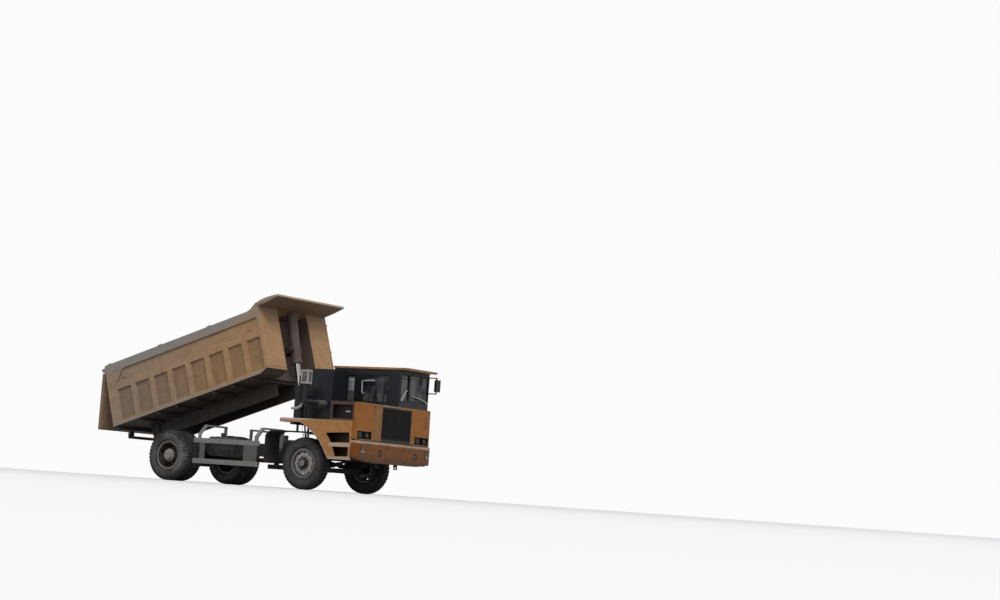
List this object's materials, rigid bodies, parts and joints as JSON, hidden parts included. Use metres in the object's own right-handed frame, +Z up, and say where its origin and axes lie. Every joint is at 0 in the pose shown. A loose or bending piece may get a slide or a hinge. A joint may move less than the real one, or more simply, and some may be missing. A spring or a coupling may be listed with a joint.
{
  "type": "mining dump truck",
  "caption": "Two-axle wide-body mining dump truck with a half cab, its rock bed part raised on a front hoist and the tailgate hanging",
  "frame": {"origin": "on the floor under the middle of the bounding box", "axes": "+X forward, +Y to the truck's left, +Z up"},
  "size_m": [8.351, 3.072, 4.5934],
  "materials": {
    "body_orange": "dusty satin paint",
    "deck_brown": "dusty satin paint",
    "cab_black": "dusty satin paint",
    "frame_grey": "dusty matt paint",
    "engine_iron": "oily matt",
    "tank_black": "dusty satin paint",
    "guard_grey": "dusty satin paint",
    "window_glass": "dusty clear",
    "lamp_glass": "clear",
    "seat_vinyl": "matt vinyl",
    "dash_plastic": "grained",
    "tyre_rubber": "dusty rubber",
    "rim_grey": "dusty satin paint",
    "bed_paint": "dusty worn paint",
    "bed_frame_paint": "dusty worn paint",
    "hoist_paint": "dusty satin paint",
    "chrome": "polished"
  },
  "bodies": {
    "chassis": {"chassis_frame": "frame_grey", "deck_frame": "frame_grey", "front_bumper": "body_orange", "front_panel": "body_orange", "grille": "cab_black", "lamps": "lamp_glass", "deck": "deck_brown", "right_fender": "body_orange", "left_fender": "body_orange", "wheel_guards": "cab_black", "side_locker": "deck_brown", "cab_shell": "cab_black", "cab_roof": "body_orange", "cab_glass": "window_glass", "driver_seat": "seat_vinyl", "dashboard": "dash_plastic", "engine_block": "engine_iron", "radiator": "frame_grey", "air_tower": "cab_black", "air_cleaner": "guard_grey", "fuel_tank": "tank_black", "hydraulic_tank": "tank_black", "side_guards": "guard_grey", "front_axle": "frame_grey", "rear_axle": "frame_grey", "leaf_springs": "frame_grey", "prop_shaft": "frame_grey", "rear_mirror": "cab_black"},
    "door": {"cab_door": "cab_black", "door_glass": "window_glass"},
    "knuckle_left": {"knuckle_left": "frame_grey"},
    "knuckle_right": {"knuckle_right": "frame_grey"},
    "wheel_front_left": {"front_tyre_left": "tyre_rubber", "front_rim_left": "rim_grey"},
    "wheel_front_right": {"front_tyre_right": "tyre_rubber", "front_rim_right": "rim_grey"},
    "wheels_rear_left": {"rear_tyres_left": "tyre_rubber", "rear_rims_left": "rim_grey"},
    "wheels_rear_right": {"rear_tyres_right": "tyre_rubber", "rear_rims_right": "rim_grey"},
    "bed": {"bed_shell": "bed_paint", "bed_frame": "bed_frame_paint"},
    "tailgate": {"tailgate": "bed_paint"},
    "hoist_barrel": {"hoist_barrel": "hoist_paint"},
    "hoist_sleeve_1": {"hoist_sleeve_1": "chrome"},
    "hoist_sleeve_2": {"hoist_sleeve_2": "chrome"},
    "hoist_rod": {"hoist_rod": "chrome"}
  },
  "joints": [
    {"name": "bed_tilt", "type": "hinge", "parent": "chassis", "child": "bed", "pos_m": [-2.91051, 0, 0.955], "axis": [0, -1, 0], "range_deg": [-17.8, 28.2]},
    {"name": "tailgate_swing", "type": "hinge", "parent": "bed", "child": "tailgate", "pos_m": [-4.12549, 0, 2.61295], "axis": [0, 1, 0], "range_deg": [-17.8, 45]},
    {"name": "hoist_swing", "type": "hinge", "parent": "bed", "child": "hoist_barrel", "pos_m": [0.84541, 0, 3.39497], "axis": [0, 1, 0], "range_deg": [-7.93, 12.51]},
    {"name": "hoist_slide_1", "type": "slide", "parent": "hoist_barrel", "child": "hoist_sleeve_1", "axis": [0.2346, 0, -0.9721], "range_m": [-0.43129, 0.68299]},
    {"name": "hoist_slide_2", "type": "slide", "parent": "hoist_sleeve_1", "child": "hoist_sleeve_2", "axis": [0.2346, 0, -0.9721], "range_m": [-0.43129, 0.68299]},
    {"name": "hoist_slide_3", "type": "slide", "parent": "hoist_sleeve_2", "child": "hoist_rod", "axis": [0.2346, 0, -0.9721], "range_m": [-0.43129, 0.68299]},
    {"name": "steer_left", "type": "hinge", "parent": "chassis", "child": "knuckle_left", "pos_m": [2.3855, 0.985, 0.613], "axis": [0, 0, 1], "range_deg": [-32, 32]},
    {"name": "steer_right", "type": "hinge", "parent": "chassis", "child": "knuckle_right", "pos_m": [2.3855, -0.985, 0.613], "axis": [0, 0, 1], "range_deg": [-32, 32]},
    {"name": "wheel_front_left", "type": "hinge", "parent": "knuckle_left", "child": "wheel_front_left", "pos_m": [2.3855, 1.21, 0.613], "axis": [0, 1, 0], "continuous": true},
    {"name": "wheel_front_right", "type": "hinge", "parent": "knuckle_right", "child": "wheel_front_right", "pos_m": [2.3855, -1.21, 0.613], "axis": [0, 1, 0], "continuous": true},
    {"name": "wheel_rear_left", "type": "hinge", "parent": "chassis", "child": "wheels_rear_left", "pos_m": [-1.7145, 1.116, 0.613], "axis": [0, 1, 0], "continuous": true},
    {"name": "wheel_rear_right", "type": "hinge", "parent": "chassis", "child": "wheels_rear_right", "pos_m": [-1.7145, -1.116, 0.613], "axis": [0, 1, 0], "continuous": true},
    {"name": "door_swing", "type": "hinge", "parent": "chassis", "child": "door", "pos_m": [3.68549, 1.394, 2.28], "axis": [0, 0, -1], "range_deg": [0, 75]}
  ],
  "couplings": [
    {"joint": "hoist_swing", "follows": "bed_tilt", "ratio": 0.44},
    {"joint": "hoist_slide_1", "follows": "bed_tilt", "m_per_rad": 1.3867},
    {"joint": "hoist_slide_2", "follows": "bed_tilt", "m_per_rad": 1.3867},
    {"joint": "hoist_slide_3", "follows": "bed_tilt", "m_per_rad": 1.3867},
    {"joint": "steer_right", "follows": "steer_left", "ratio": 1}
  ]
}
